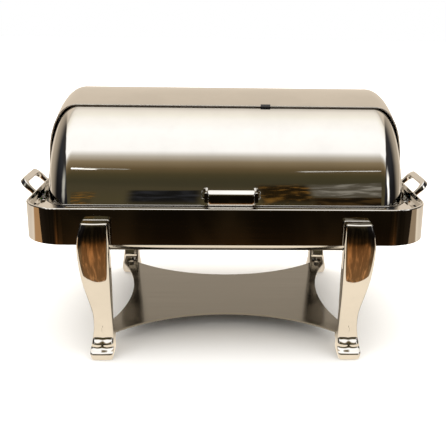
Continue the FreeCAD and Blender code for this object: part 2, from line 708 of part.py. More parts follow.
def leg_blank():
    """The leg as it is sawn from two sides, with its four long edges rounded."""
    inner, outer = ([Vector(x, 0, z) for x, z in edge] for edge in (LEG_INNER, LEG_OUTER))
    front_view = closed_face(inner, outer[::-1]).extrude(Y_AXIS * 300)
    back, front = ([Vector(0, y, z) for y, z in edge] for edge in (LEG_BACK, LEG_FRONT))
    top_back = [Vector(0, mm("leg_face"), LEG_FRONT[0][1]), back[0]]
    side_view = closed_face(top_back, back, front[::-1]).extrude(X_AXIS * 300)
    blank = front_view.common(side_view)
    long_edges = [edge for edge in blank.Edges
                  if edge.BoundBox.ZLength > 60 and edge.BoundBox.YMax > 226]
    return blank.makeFillet(LEG_EDGE, long_edges)


def make_legs():
    """Cast cabriole leg with its bolt holes, a lug for the shelf and a recess for the foot pad."""
    leg = leg_blank()
    half_lug, lug_top = mm("lug_width") / 2, mm("shelf_top") - mm("shelf_sheet")
    lug = Part.makeBox(mm("lug_width"), mm("lug_back") - mm("lug_reach"), lug_top - mm("lug_low"),
                       Vector(mm("shelf_bolt_x") - half_lug, mm("lug_reach"), mm("lug_low")))
    ends = [edge for edge in lug.Edges
            if edge.BoundBox.ZLength > 1 and edge.BoundBox.YMax < mm("lug_reach") + 0.1]
    leg = leg.fuse(lug.makeFillet(half_lug - 1, ends))
    leg = leg.cut(Part.makeCylinder(mm("bolt_radius") + mm("bolt_fit"), mm("shelf_bolt_bore"),
                                    Vector(mm("shelf_bolt_x"), mm("shelf_bolt_y"),
                                           lug_top - mm("shelf_bolt_bore")), Z_AXIS))
    for level in ("leg_bolt_low", "leg_bolt_high"):
        leg = leg.cut(Part.makeCylinder(mm("bolt_radius") + mm("bolt_fit"), mm("leg_bolt_depth"),
                                        Vector(mm("foot_x"), mm("leg_face"), mm(level)), Y_AXIS))
    leg = leg.cut(Part.makeCylinder(mm("pad_radius") + 0.1, mm("pad_sheet"),
                                    Vector(mm("foot_x"), mm("foot_y"), 0), Z_AXIS))
    leg = leg.removeSplitter()
    for end, side in CORNERS:
        placed = mirrored(leg, SIDES[side])
        if end == "front":
            placed = placed.mirror(Vector(0, 0, 0), Y_AXIS)
        new_feature(f"leg_{end}_{side}", placed)


def make_leg_fixings():
    """Backing plates inside the skirt, and the bolts that pull each leg against it."""
    wall = band_inside_depth / 2
    bolts = []
    for end, side in CORNERS:
        body = new_body(f"leg_plate_{end}_{side}")
        outline = new_sketch(body, "XZ_Plane", wall * -ENDS[end])
        height = dim("plate_high") - dim("plate_low")
        middle = (dim("plate_high") + dim("plate_low")) / 2
        x = dim("foot_x") * SIDES[side]
        add_rounded_rectangle(outline, dim("plate_width"), height, dim("plate_corner"), x=x, y=middle)
        pad(body, outline, dim("plate_sheet"), backwards=end == "front")
        holes = new_sketch(body, "XZ_Plane")
        for level in ("leg_bolt_low", "leg_bolt_high"):
            add_circle(holes, x, dim(level), dim("bolt_radius") + dim("bolt_clearance"))
            inner = wall.value - mm("plate_sheet")
            tip = mm("leg_face") + mm("leg_bolt_depth") - 1.5
            outwards = Y_AXIS * ENDS[end]
            start = Vector(mm("foot_x") * SIDES[side], 0, mm(level)) + outwards * inner
            shank = Part.makeCylinder(mm("bolt_radius"), tip - inner, start, outwards)
            bolts.append(shank.fuse(hexagon_head(start, -outwards)))
        pocket(body, holes, dim("band_depth") * 2, middle=True)
    new_feature("leg_bolts", Part.makeCompound(bolts))


def hexagon_head(base, direction):
    """A six-sided bolt head on a base point, standing along a direction."""
    angles = [math.radians(60 * index) for index in range(7)]
    turn = Rotation(Z_AXIS, direction)
    points = [base + turn.multVec(Vector(mm("head_radius") * math.cos(angle),
                                         mm("head_radius") * math.sin(angle), 0)) for angle in angles]
    return Part.Face(Part.makePolygon(points)).extrude(direction * mm("head_depth"))


def make_shelf():
    """Burner shelf: a plate with four hollowed sides that runs out to a tab at each leg."""
    low = mm("shelf_top") - mm("shelf_sheet")
    side_middle = Vector(mm("shelf_side_middle"), 0, low)
    side_end = Vector(mm("shelf_tip_x") + 1, mm("shelf_side_end"), low)
    front_middle = Vector(0, mm("shelf_front_middle"), low)
    front_end = Vector(mm("shelf_front_end"), mm("shelf_tip_y"), low)
    edges = []
    for sign_x in (-1, 1):
        for sign_y in (-1, 1):
            def place(x, y):
                return Vector(x * sign_x, y * sign_y, low)
            tip = place(mm("shelf_tip_x"), mm("shelf_tip_y"))
            edges.append(Part.LineSegment(place(side_end.x, side_end.y), tip).toShape())
            edges.append(Part.LineSegment(tip, place(front_end.x, front_end.y)).toShape())
    for sign in (-1, 1):
        ends = [Vector(sign * side_end.x, other * side_end.y, low) for other in (-1, 1)]
        middle = Vector(sign * side_middle.x, 0, low)
        edges.append(Part.Arc(ends[0], middle, ends[1]).toShape())
        ends = [Vector(other * front_end.x, sign * front_end.y, low) for other in (-1, 1)]
        middle = Vector(0, sign * front_middle.y, low)
        edges.append(Part.Arc(ends[0], middle, ends[1]).toShape())
    plate = Part.Face(Part.Wire(Part.__sortEdges__(edges))).extrude(Z_AXIS * mm("shelf_sheet"))
    bolts = []
    for sign_x in (-1, 1):
        for sign_y in (-1, 1):
            place = Vector(sign_x * mm("shelf_bolt_x"), sign_y * mm("shelf_bolt_y"), low)
            hole_radius = mm("bolt_radius") + mm("bolt_clearance")
            plate = plate.cut(Part.makeCylinder(hole_radius, mm("shelf_sheet"), place, Z_AXIS))
            depth = mm("shelf_bolt_bore") - 1
            shank = Part.makeCylinder(mm("bolt_radius"), mm("shelf_sheet") + depth,
                                      place - Z_AXIS * depth, Z_AXIS)
            bolts.append(shank.fuse(hexagon_head(place + Z_AXIS * mm("shelf_sheet"), Z_AXIS)))
    new_feature("burner_shelf", plate)
    new_feature("shelf_bolts", Part.makeCompound(bolts))


def make_foot_pads():
    for end, side in CORNERS:
        body = new_body(f"foot_pad_{end}_{side}")
        disc = new_sketch(body, "XY_Plane")
        add_circle(disc, dim("foot_x") * SIDES[side], dim("foot_y") * ENDS[end], dim("pad_radius"))
        pad(body, disc, dim("pad_sheet"))


def make_stops():
    """Rubber stops under the front cover's hem, and the pad on the rear cover's front edge."""
    for side, sign in SIDES.items():
        body = new_body(f"hem_stop_{side}")
        disc = new_sketch(body, "XY_Plane", dim("deck_top"))
        add_circle(disc, dim("stop_x") * sign, -dim("stop_y"), dim("stop_radius"))
        pad(body, disc, dim("stop_height"))
    centre = Vector(0, 0, mm("pivot_height"))
    outer = mm("rear_radius") + mm("edge_pad_lift")
    inner = mm("rear_radius") - mm("cover_sheet") - mm("edge_pad_lift")
    face = Part.makePlane(mm("edge_pad_width"), outer - inner,
                          Vector(mm("edge_pad_left"), 0, mm("pivot_height") + inner), -Y_AXIS, X_AXIS)
    face.rotate(centre, X_AXIS, mm("rear_edge_angle") + mm("edge_pad_lead"))
    block = face.revolve(centre, X_AXIS, -mm("edge_pad_wrap"))
    new_feature("edge_pad", block.cut(turned_cover("rear", -mm("rear_edge_angle"), 0)))


make_band()
make_deck()
make_ledges()
make_covers()
make_rear_brackets()
make_rear_screws()
make_pivots()
make_pans()
make_grip()
make_side_handles()
make_legs()
make_leg_fixings()
make_shelf()
make_foot_pads()
make_stops()

# ---------------------------------------------------------------------------
# Check every piece, then write it
# ---------------------------------------------------------------------------
doc.recompute()
for item in doc.Objects:
    bad = [word for word in item.State if word in ("Invalid", "Error")]
    assert not bad, f"{item.Label}: {bad}"
for piece in made:
    shape = piece.Shape
    assert not shape.isNull() and shape.isValid(), f"{piece.Label}: bad shape"
    assert shape.Solids and shape.Volume > 0, f"{piece.Label}: no solid"
for piece in made:
    piece.Shape.exportStep(f"parts/{piece.Label}.step")
print(f"{len(made)} pieces written")
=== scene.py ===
import math

import bmesh
import bpy
from mathutils import Matrix, Vector


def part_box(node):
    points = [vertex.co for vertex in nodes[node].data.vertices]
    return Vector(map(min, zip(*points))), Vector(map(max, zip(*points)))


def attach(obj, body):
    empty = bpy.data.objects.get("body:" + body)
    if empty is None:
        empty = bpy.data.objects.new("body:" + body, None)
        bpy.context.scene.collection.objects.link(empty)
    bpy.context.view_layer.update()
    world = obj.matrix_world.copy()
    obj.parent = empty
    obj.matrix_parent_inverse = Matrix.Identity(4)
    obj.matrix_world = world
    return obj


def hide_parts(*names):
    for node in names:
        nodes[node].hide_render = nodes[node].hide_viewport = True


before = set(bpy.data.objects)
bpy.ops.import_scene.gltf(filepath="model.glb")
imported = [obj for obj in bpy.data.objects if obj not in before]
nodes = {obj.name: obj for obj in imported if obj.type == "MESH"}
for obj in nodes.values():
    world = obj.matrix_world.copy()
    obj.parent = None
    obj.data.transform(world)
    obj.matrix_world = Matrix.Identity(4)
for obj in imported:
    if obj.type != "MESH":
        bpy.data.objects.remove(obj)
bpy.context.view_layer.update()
scene = bpy.context.scene


# ---------------------------------------------------------------- colours

def linear(red, green, blue):
    """A colour given in 0-255 display values, as linear light."""
    def one(value):
        value /= 255
        return value / 12.92 if value <= 0.04045 else ((value + 0.055) / 1.055) ** 2.4
    return tuple(one(value) for value in (red, green, blue))


STEEL = (0.74, 0.725, 0.70)


def seen_in_steel(red, green, blue):
    """The light that has to reach polished steel for it to look this colour."""
    return tuple(light / metal for light, metal in zip(linear(red, green, blue), STEEL))


# ---------------------------------------------------------------- node building

class Graph:
    """Builds the nodes of one material or world."""

    def __init__(self, tree):
        self.tree = tree
        tree.nodes.clear()

    def add(self, kind, **settings):
        node = self.tree.nodes.new(kind)
        for name, value in settings.items():
            setattr(node, name, value)
        return node

    def put(self, socket, value):
        if isinstance(value, bpy.types.NodeSocket):
            self.tree.links.new(value, socket)
        elif value is not None:
            socket.default_value = value

    def math(self, operation, first, second=None):
        node = self.add("ShaderNodeMath", operation=operation)
        for socket, value in zip(node.inputs, (first, second)):
            self.put(socket, value)
        return node.outputs[0]

    def smooth(self, value, low, high):
        """A soft step from 0 at low to 1 at high."""
        node = self.add("ShaderNodeMapRange", interpolation_type="SMOOTHSTEP")
        self.put(node.inputs["Value"], value)
        node.inputs["From Min"].default_value = low
        node.inputs["From Max"].default_value = high
        return node.outputs["Result"]

    def between(self, value, low, high, to_low, to_high):
        """The value's place between two limits, carried to two others."""
        node = self.add("ShaderNodeMapRange")
        self.put(node.inputs["Value"], value)
        for name, number in (("From Min", low), ("From Max", high),
                             ("To Min", to_low), ("To Max", to_high)):
            node.inputs[name].default_value = number
        return node.outputs["Result"]

    def mix(self, factor, first, second, blend="MIX"):
        node = self.add("ShaderNodeMix", data_type="RGBA", blend_type=blend)
        self.put(node.inputs[0], factor)
        for socket, value in ((node.inputs[6], first), (node.inputs[7], second)):
            self.put(socket, (*value, 1) if isinstance(value, tuple) and len(value) == 3 else value)
        return node.outputs[2]

    def ramp(self, value, stops):
        node = self.add("ShaderNodeValToRGB")
        self.put(node.inputs[0], value)
        elements = node.color_ramp.elements
        while len(elements) < len(stops):
            elements.new(1)
        for element, (place, colour) in zip(elements, stops):
            element.position = place
            element.color = (*colour, 1)
        return node.outputs[0]

    def noise(self, vector, scale, detail=2, roughness=0.5, distortion=0):
        node = self.add("ShaderNodeTexNoise")
        self.put(node.inputs["Vector"], vector)
        for name, number in (("Scale", scale), ("Detail", detail),
                             ("Roughness", roughness), ("Distortion", distortion)):
            node.inputs[name].default_value = number
        return node.outputs["Fac"]

    def stretched(self, vector, scale, turn=(0, 0, 0)):
        node = self.add("ShaderNodeMapping")
        self.put(node.inputs["Vector"], vector)
        node.inputs["Scale"].default_value = scale
        node.inputs["Rotation"].default_value = turn
        return node.outputs[0]

    def bump(self, height, distance, normal=None):
        node = self.add("ShaderNodeBump")
        node.inputs["Strength"].default_value = 1
        node.inputs["Distance"].default_value = distance
        self.put(node.inputs["Height"], height)
        self.put(node.inputs["Normal"], normal)
        return node.outputs[0]


# Depth in metres of the finest polishing lines, and how much deeper a grain of 1 makes them.
LINE_DEPTH = 0.0000025
GRAIN_DEPTH = 0.00002


def new_material(name):
    made = bpy.data.materials.new(name)
    made.use_nodes = True
    graph = Graph(made.node_tree)
    shader = graph.add("ShaderNodeBsdfPrincipled")
    output = graph.add("ShaderNodeOutputMaterial")
    graph.put(output.inputs["Surface"], shader.outputs[0])
    place = graph.add("ShaderNodeTexCoord").outputs["Object"]
    return made, graph, shader, place


def steel(name, smoothness, ripple, grain, tint=STEEL, smudge=0.05, swell=9):
    """Stainless steel. Smoothness is its mirror roughness, ripple the height in metres of slow
    waves, and grain how far fine polishing lines roughen it."""
    made, graph, shader, place = new_material(name)
    shader.inputs["Metallic"].default_value = 1
    cloud = graph.noise(place, 14, 3, 0.6)
    lines = graph.noise(graph.stretched(place, (6, 420, 420)), 1, 2, 0.6)
    spots = graph.noise(place, 95, 4, 0.7)
    worn = tuple(channel * (1 - smudge) for channel in tint)
    graph.put(shader.inputs["Base Color"], graph.mix(graph.smooth(cloud, 0.35, 0.7), tint, worn))
    base = graph.between(cloud, 0.3, 0.75, smoothness * 0.8, smoothness * 1.35)
    scratched = graph.math("MULTIPLY", graph.smooth(lines, 0.45, 0.8), grain)
    marks = graph.math("MULTIPLY", graph.smooth(spots, 0.62, 0.75), grain * 0.6)
    rough = graph.math("ADD", graph.math("ADD", base, scratched), marks)
    graph.put(shader.inputs["Roughness"], rough)
    wave = graph.bump(graph.noise(place, swell, 1, 0.4), ripple)
    hair = graph.bump(lines, LINE_DEPTH + grain * GRAIN_DEPTH, wave)
    graph.put(shader.inputs["Normal"], hair)
    return made


def brushed(name, roughness, line_scale, tint, height=0.000012, crossing=0.0):
    """Satin steel. Line_scale stretches its drawn lines along one axis, height is their depth in
    metres, and crossing is how far cross scuffs roughen it."""
    made, graph, shader, place = new_material(name)
    shader.inputs["Metallic"].default_value = 1
    along = graph.noise(graph.stretched(place, line_scale), 1, 3, 0.65)
    cloud = graph.noise(place, 11, 4, 0.6)
    scuff = graph.noise(graph.stretched(place, (60, 900, 60), (0, 0, 0.7)), 1, 2, 0.6)
    dark = tuple(channel * 0.86 for channel in tint)
    colour = graph.mix(graph.smooth(along, 0.3, 0.7), dark, tint)
    graph.put(shader.inputs["Base Color"], graph.mix(graph.smooth(cloud, 0.5, 0.9), colour, dark))
    rough = graph.between(along, 0.3, 0.7, roughness * 0.85, roughness * 1.2)
    more = graph.math("MULTIPLY", graph.smooth(scuff, 0.6, 0.75), crossing)
    graph.put(shader.inputs["Roughness"], graph.math("ADD", rough, more))
    graph.put(shader.inputs["Normal"], graph.bump(along, height))
    return made


def rubber(name):
    made, graph, shader, place = new_material(name)
    fine = graph.noise(place, 900, 3, 0.7)
    dust = graph.noise(place, 60, 4, 0.6)
    graph.put(shader.inputs["Base Color"],
              graph.mix(graph.smooth(dust, 0.55, 0.8), (0.018, 0.018, 0.019), (0.05, 0.048, 0.045)))
    graph.put(shader.inputs["Roughness"], graph.between(fine, 0.3, 0.7, 0.55, 0.8))
    graph.put(shader.inputs["Normal"], graph.bump(fine, 0.00012))
    return made


def nylon(name):
    made, graph, shader, place = new_material(name)
    fine = graph.noise(place, 500, 3, 0.6)
    graph.put(shader.inputs["Base Color"], graph.mix(fine, (0.70, 0.67, 0.60), (0.80, 0.78, 0.72)))
    graph.put(shader.inputs["Roughness"], graph.between(fine, 0.3, 0.7, 0.35, 0.5))
    shader.inputs["Subsurface Weight"].default_value = 0.1
    graph.put(shader.inputs["Normal"], graph.bump(fine, 0.00004))
    return made


MIRROR = steel("mirror_sheet", 0.035, 0.00012, 0.03)
BAND = steel("mirror_band", 0.04, 0.00010, 0.035, swell=12)
CAST = steel("cast_polished", 0.05, 0.00030, 0.03, smudge=0.06, swell=30)
EDGE = steel("rolled_edge", 0.55, 0.00002, 0.05)
GRIP = steel("grip_polished", 0.06, 0.00012, 0.03, smudge=0.06, swell=60)
# The shelf's tint is far darker than the other steel: painted shade, standing in for the shade
# under the chafer where the shelf lies.
SHELF = brushed("shelf_plate_painted_shade", 0.11, (3, 420, 420), (0.22, 0.21, 0.188), 0.000004, 0.06)
PAN = brushed("pan_satin", 0.36, (7, 240, 240), (0.76, 0.75, 0.73), 0.000004)
TROUGH = brushed("water_pan_satin", 0.12, (7, 240, 240), (0.78, 0.765, 0.74), 0.000003)
DECK = steel("mirror_deck", 0.04, 0.00008, 0.03)
FIXING = steel("turned_fixing", 0.14, 0.00002, 0.08, tint=(0.62, 0.61, 0.59))
RUBBER = rubber("black_rubber")
NYLON = nylon("natural_nylon")

FINISHES = {
    "cover_steel": MIRROR, "band_steel": BAND, "cast_steel": CAST, "handle_steel": GRIP,
    "shelf_steel": SHELF, "pan_steel": PAN, "deck_steel": DECK, "fixing_steel": FIXING,
    "rubber": RUBBER, "spacer_plastic": NYLON,
}
OWN_FINISHES = {"water_pan": TROUGH}


def finish_cad_nodes():
    """Gives every carried-over node its own finish, or that of its slot in the record."""
    for name, node in nodes.items():
        slot = node.data.materials[0].name
        node.data.materials.clear()
        node.data.materials.append(OWN_FINISHES.get(name, FINISHES[slot]))


# ---------------------------------------------------------------- mesh building

MM = 0.001
SMOOTH_ANGLE = math.radians(50)


def arc_points(centre, radius, start, sweep, steps):
    """Points in a plane along an arc, its angles in degrees."""
    angles = [math.radians(start + sweep * step / steps) for step in range(steps + 1)]
    return [(centre[0] + radius * math.cos(angle), centre[1] + radius * math.sin(angle))
            for angle in angles]


def rounded_outline(left, right, low, high, corner, steps=6):
    """A rectangle with round corners, anticlockwise from its right side."""
    corner = min(corner, (right - left) / 2 - 0.01, (high - low) / 2 - 0.01)
    centres = [(right - corner, high - corner), (left + corner, high - corner),
               (left + corner, low + corner), (right - corner, low + corner)]
    points = []
    for turn, centre in enumerate(centres):
        points += arc_points(centre, corner, 90 * turn, 90, steps)
    return points


def curve_through(points):
    """A smooth function of height through (height, value) points."""
    heights, values = zip(*points)
    slopes = []
    for index in range(len(points)):
        before, after = max(index - 1, 0), min(index + 1, len(points) - 1)
        slopes.append((values[after] - values[before]) / (heights[after] - heights[before]))

    def value_at(height):
        index = max(0, min(len(points) - 2, sum(height >= step for step in heights) - 1))
        span = heights[index + 1] - heights[index]
        part = min(1, max(0, (height - heights[index]) / span))
        start, end = values[index], values[index + 1]
        rise = slopes[index] * span * part * (1 - part) ** 2
        fall = slopes[index + 1] * span * part ** 2 * (1 - part)
        blend = part * part * (3 - 2 * part)
        return start + (end - start) * blend + rise - fall
    return value_at


def skin(rings):
    """Vertices and faces of a closed skin through rings that have the same number of points."""
    count = len(rings[0])
    vertices = [point for ring in rings for point in ring]
    faces = []
    for level in range(len(rings) - 1):
        for index in range(count):
            following = (index + 1) % count
            low, high = level * count, (level + 1) * count
            faces.append((low + index, low + following, high + following, high + index))
    last = len(vertices) - count
    faces.append(tuple(range(count))[::-1])
    faces.append(tuple(range(last, last + count)))
    return vertices, faces


def swept(path, across, section):
    """A skin along a path of points; section gives (across, outwards) pairs at a part of the
    way."""
    rings = []
    last = len(path) - 1
    for index, point in enumerate(path):
        before, after = path[max(index - 1, 0)], path[min(index + 1, last)]
        along = (Vector(after) - Vector(before)).normalized()
        out = along.cross(across)
        rings.append([tuple(Vector(point) + across * sideways + out * outwards)
                      for sideways, outwards in section(index / last)])
    return skin(rings)


def new_piece(name, parts, material, body, replaced=(), mirror=(1, 1)):
    """An object from skins given in millimetres; mirror flips it across X or Y."""
    mesh = bpy.data.meshes.new(name)
    shape = bmesh.new()
    for vertices, faces in parts:
        made = [shape.verts.new((x * mirror[0] * MM, y * mirror[1] * MM, z * MM))
                for x, y, z in vertices]
        for face in faces:
            shape.faces.new([made[index] for index in face])
    bmesh.ops.recalc_face_normals(shape, faces=shape.faces)
    for face in shape.faces:
        face.smooth = True
    for edge in shape.edges:
        if len(edge.link_faces) == 2 and edge.calc_face_angle() > SMOOTH_ANGLE:
            edge.smooth = False
    shape.to_mesh(mesh)
    shape.free()
    mesh.materials.append(material)
    made = bpy.data.objects.new(name, mesh)
    scene.collection.objects.link(made)
    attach(made, body)
    if replaced:
        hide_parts(*replaced)


def corner_of(node, pick):
    """One corner of a node's box in millimetres; pick says low (0) or high (1) for X, Y and Z."""
    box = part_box(node)
    return [box[which][axis] / MM for axis, which in enumerate(pick)]


SIDES = [(-1, "left"), (1, "right")]
ENDS = [(-1, "front"), (1, "rear")]


# ---------------------------------------------------------------- legs

# Leg profiles as (height, distance from the chafer's middle) in millimetres, from the table up:
# the inner and outer sides along X, the back and the front along Y.
LEG_INNER = curve_through([(1, 184.5), (12, 182.6), (30, 183.4), (52, 184), (80, 183.5),
                           (140, 181.3), (195, 180.3), (235.5, 181)])
LEG_OUTER = curve_through([(1, 217.5), (12, 219.5), (30, 217), (52, 214.5), (80, 214.8),
                           (140, 225.5), (170, 229), (195, 229.8), (215, 227.5), (235.5, 222)])
LEG_BACK = curve_through([(1, 190.5), (22, 188), (50, 190.5), (80, 199), (140, 213),
                          (192, 225.1), (193, 225.1), (235.5, 225.1)])
LEG_FRONT = curve_through([(1, 228), (4, 230), (8, 231), (10.5, 231.2), (12.6, 230),
                           (14.8, 226.8), (17.5, 222.8), (20, 221), (24, 220.2), (28, 217.6),
                           (31, 214.8), (35, 213.8), (52, 215), (80, 223.5), (110, 235),
                           (140, 243.2), (160, 246.6), (177, 248.5), (199, 249.8), (213, 250),
                           (221, 249.9), (228, 249.6), (235.5, 248.9)])
# How far the middle of the front stands out past its edges.
LEG_CROWN = curve_through([(1, 0), (30, 0.4), (50, 1.4), (90, 3.4), (235.5, 3.8)])
LEG_FOOT = 1
LEG_TOP = 235.5
LEG_BEVEL = 3
RELIEF_TOP = 80


def bump_at(value, centre, width):
    """A soft bump: 1 at its centre, falling to nothing a few widths away."""
    return math.exp(-((value - centre) / width) ** 2)


def leg_relief(across, height):
    """How far a point of the leg's front stands out: a ridge on the ankle, two lobes on the
    instep and a rounded toe."""
    ridge = 3.2 * bump_at(across, 0, 1.9) * bump_at(height, 49, 8)
    lobes = 1.5 * bump_at(abs(across), 8, 4.6) * bump_at(height, 25, 4.5)
    crease = -0.8 * bump_at(across, 0, 3.4) * bump_at(height, 24, 5)
    crown = -3.6 * (across / 17) ** 2 * bump_at(height, 15, 9)
    return ridge + lobes + crease + crown


def leg_ring(height, inset=0.0, level=None):
    """The leg's outline at a height, shrunk by an inset and placed at another level if one is
    given."""
    inner, outer = LEG_INNER(height) + inset, LEG_OUTER(height) - inset
    crown = LEG_CROWN(height)
    back, front = LEG_BACK(height) + inset, LEG_FRONT(height) - crown - inset
    middle, half = (inner + outer) / 2, (outer - inner) / 2
    corner = max(1.2, min(5.0, 3.2 + (LEG_TOP - height) * 0.03) - inset * 0.6)
    turn, steps = 7, 34
    ring = arc_points((outer - corner, front - corner), corner, 0, 90, turn)
    span = outer - inner - 2 * corner
    for step in range(1, steps):
        ring.append((outer - corner - span * step / steps, front))
    ring += arc_points((inner + corner, front - corner), corner, 90, 90, turn)
    ring += arc_points((inner + corner, back + corner), corner, 180, 90, turn)
    ring += arc_points((outer - corner, back + corner), corner, 270, 90, turn)
    placed = []
    for x, y in ring:
        across = (x - middle) / half
        facing = max(0, min(1, (y - (front - corner)) / corner)) if y > (front + back) / 2 else 0
        bulge = crown * (1 - across * across)
        relief = leg_relief(x - middle, height) if height < RELIEF_TOP else 0
        placed.append((x, y + (bulge + relief) * facing, level or height))
    return placed


def leg_skin():
    """A leg: fine steps up to the ankle, wider ones above it, and a rounded top."""
    edge = 0.8
    sole = LEG_FOOT + edge
    heights = [sole, 3] + [4 + step for step in range(58)]
    heights += [62 + 3 * step for step in range(56)] + [LEG_TOP - LEG_BEVEL]
    rings = [leg_ring(sole, edge, LEG_FOOT)] + [leg_ring(height) for height in heights]
    for step in range(1, 7):
        angle = math.radians(15 * step)
        rings.append(leg_ring(LEG_TOP - LEG_BEVEL, LEG_BEVEL * (1 - math.cos(angle)),
                              LEG_TOP - LEG_BEVEL * (1 - math.sin(angle))))
    return skin(rings)


def lug_skin():
    """The lug behind the foot, which the shelf's tab is bolted down on."""
    left, right, front, back = 185.5, 210.5, 158.5, 199
    gap = 0.05
    low, high = 15, corner_of("burner_shelf", (0, 0, 0))[2] - gap
    rings = []
    for inset, level in ((1.4, low), (0.4, low + 0.5), (0, low + 1.4), (0, high - 0.8),
                         (0.25, high - 0.2), (0.8, high)):
        outline = rounded_outline(left + inset, right - inset, front + inset, back, 12)
        rings.append([(x, y, level) for x, y in outline])
    return skin(rings)


def make_legs():
    parts = [leg_skin(), lug_skin()]
    for sign_y, end in ENDS:
        for sign_x, side in SIDES:
            node = f"leg_{end}_{side}"
            new_piece(f"cast_{node}", parts, CAST, "frame", (node,), (sign_x, sign_y))


# ---------------------------------------------------------------- handles

BAIL_TILT = math.radians(46)
BAIL_HALF = 47
BAIL_REACH = 49
BAIL_CORNER = 15
BAIL_ROOT = 3
BAIL_HEIGHT = 219
BOSS_HALF_WIDTH = 12
BOSS_HALF_HEIGHT = 14


def bail_path():
    """The handle's centre line in its own plane, as (Y, reach), from one root to the other."""
    half, reach, corner = BAIL_HALF, BAIL_REACH, BAIL_CORNER
    side = [(-half, -BAIL_ROOT + (reach - corner + BAIL_ROOT) * step / 10) for step in range(10)]
    bend = arc_points((-half + corner, reach - corner), corner, 180, -90, 12)
    grip = [(-half + corner + (2 * half - 2 * corner) * step / 14, reach) for step in range(1, 8)]
    left = side + bend + grip
    return left + [(-y, r) for y, r in reversed(left[:-1])]


def make_side_handles():
    wall = corner_of("frame_band", (1, 0, 0))[0]
    out = Vector((math.sin(BAIL_TILT), 0, math.cos(BAIL_TILT)))
    across = Vector((math.cos(BAIL_TILT), 0, -math.sin(BAIL_TILT)))
    path = [tuple(Vector((wall, y, BAIL_HEIGHT)) + out * reach) for y, reach in bail_path()]

    def section(part):
        """A chamfered square bar, a little fuller along the part that the hand holds."""
        held = min(1, max(0, (0.5 - abs(part - 0.5)) * 4 - 0.55))
        half = 4.2 + 1.9 * held
        flat = 4.3 + 1.2 * held
        return rounded_outline(-half, half, -flat, flat, 2, 4)

    parts = [swept(path, across, section)]
    for sign in (-1, 1):
        rings = []
        for inset, depth in ((0, 0), (0, 3), (0.5, 4.2), (1.6, 5), (4, 5.6), (7, 6)):
            wide, tall = BOSS_HALF_WIDTH - inset, BOSS_HALF_HEIGHT - inset
            outline = rounded_outline(sign * BAIL_HALF - wide, sign * BAIL_HALF + wide,
                                      BAIL_HEIGHT - tall, BAIL_HEIGHT + tall, 8 - inset * 0.5)
            rings.append([(wall + depth, y, z) for y, z in outline])
        parts.append(skin(rings))
    for sign, side in SIDES:
        new_piece(f"{side}_bail", parts, GRIP, "frame", (f"{side}_side_handle",),
                  (sign, 1))


# ---------------------------------------------------------------- covers and grip

# Sizes of the covers in millimetres and degrees forward of straight up.
PIVOT_HEIGHT = 217.3
HEM_HEIGHT = 249.7
HEM_ANGLE = 80.3
REAR_RADIUS = 197
REAR_EDGE_ANGLE = 26.2
FRONT_SHOULDER = 59.5
REAR_SHOULDER = 63
SHOULDER_FULLNESS = 37.5
END_RADII = 30, 121
CURVE_STEPS = 30


def cover_radius():
    """The front cover's outside radius about its pivot axis, from its lowest front edge."""
    low = corner_of("front_cover", (0, 0, 0))
    return math.hypot(low[1], HEM_HEIGHT - PIVOT_HEIGHT)


def make_grip():
    left, front, bottom = corner_of("cover_grip", (0, 0, 0))
    right, _, top = corner_of("cover_grip", (1, 1, 1))
    # Each step of the bar from back to front: (depth behind the face, inset at the ends,
    # inset above, inset below).
    steps = [(9, 2.5, 2.2, 2.2), (8.2, 1.0, 0.9, 0.9), (7.2, 0.2, 0.2, 0.2), (6.4, 0, 0, 0),
             (5.6, 0, 0.5, 0), (4.3, 0, 1.7, 0), (3.9, 0.1, 2.5, 0), (3.5, 0.15, 2.7, 0.05),
             (3.3, 0.2, 2.5, 0.1), (2.6, 0.5, 3.1, 0.4), (1.2, 1.3, 4.4, 1.3),
             (0.4, 2.0, 5.3, 2.0), (0.05, 2.7, 6.1, 2.7), (0, 3.6, 7, 3.6)]
    rings = []
    for depth, ends, above, below in steps:
        outline = rounded_outline(left + ends, right - ends, bottom + below, top - above, 3.6)
        rings.append([(x, front + depth, z) for x, z in outline])
    new_piece("grip_bar", [skin(rings)], GRIP, "front_cover", ("cover_grip",))

    radius = cover_radius()
    centre = (bottom + top) / 2
    lean = math.asin((centre - PIVOT_HEIGHT) / radius)
    normal = Vector((0, -math.cos(lean), math.sin(lean)))
    rise = Vector((0, math.sin(lean), math.cos(lean)))
    seat = Vector((0, 0, PIVOT_HEIGHT)) + normal * radius
    for sign, side in SIDES:
        end = right if sign > 0 else left
        post = []
        for step in range(13):
            part = step / 12
            y = front + 3 + (seat.y - front) * part
            waist = 1.6 * math.sin(math.pi * part)
            half_height = 8.8 - waist * 1.5 - 1.2 * (step == 0) - 1.4 * part
            near, far = sorted((end - sign * 1.5, end + sign * (4.5 - waist * 0.4)))
            outline = rounded_outline(near, far, centre - half_height, centre + half_height, 2)
            post.append([(x, y, z) for x, z in outline])
        lug = []
        for inset, lift in ((0, -1.2), (0, 1.8), (0.3, 2.6), (1.0, 3.3), (1.9, 3.6), (2.4, 3.2),
                            (2.9, 2.6)):
            ring = []
            for step in range(48):
                angle = math.tau * step / 48
                height = 6.6 * math.sin(angle) - 4
                swell = 4.9 - 1.9 * bump_at(height, -4, 3.2)
                width = swell * math.copysign(abs(math.cos(angle)) ** 0.55, math.cos(angle))
                shrink = 1 - inset / 6.5
                place = (seat + rise * height * (1 - inset / 14) + normal * lift
                         + Vector((end + sign * 6.2 + width * shrink, 0, 0)))
                ring.append(tuple(place))
            lug.append(ring)
        new_piece(f"grip_bracket_{side}", [skin(post), skin(lug)], GRIP,
                  "front_cover", (f"grip_post_{side}",))


